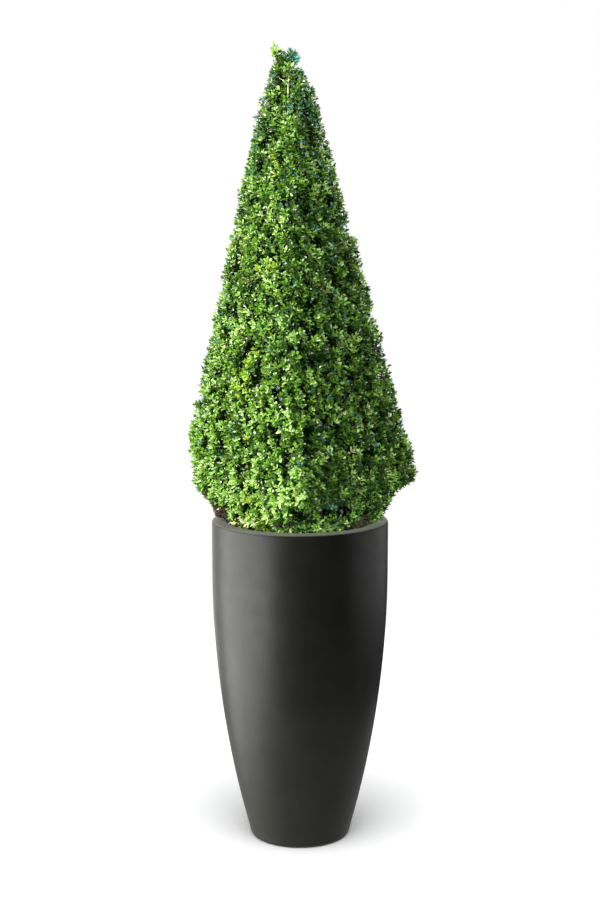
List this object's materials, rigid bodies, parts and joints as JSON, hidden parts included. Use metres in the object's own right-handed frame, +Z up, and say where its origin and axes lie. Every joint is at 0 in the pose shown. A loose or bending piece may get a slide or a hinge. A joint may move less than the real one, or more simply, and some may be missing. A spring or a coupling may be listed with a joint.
{
  "type": "clipped boxwood pyramid topiary in a tall round planter",
  "caption": "Evergreen shrub clipped to a steep four-sided pyramid with softened corners, grown in a tall matte dark grey planter that curves in to a narrow flat foot.",
  "frame": {"origin": "middle of the planter's flat underside", "axes": "+Z up along the planter's axis; -Y is the front, which one softened corner of the crown faces; +X is to the right seen from the front"},
  "size_m": [0.6361, 0.6177, 2.24],
  "materials": {
    "planter": "matte",
    "soil": "matte",
    "bark": "matte",
    "foliage": "satin"
  },
  "bodies": {
    "root": {"planter": "planter", "soil": "soil", "trunk": "bark", "bough_1": "bark", "bough_2": "bark", "bough_3": "bark", "bough_4": "bark", "bough_5": "bark", "bough_6": "bark", "crown": "foliage", "tip_shoot_left": "foliage", "tip_shoot_right": "foliage"}
  },
  "joints": []
}
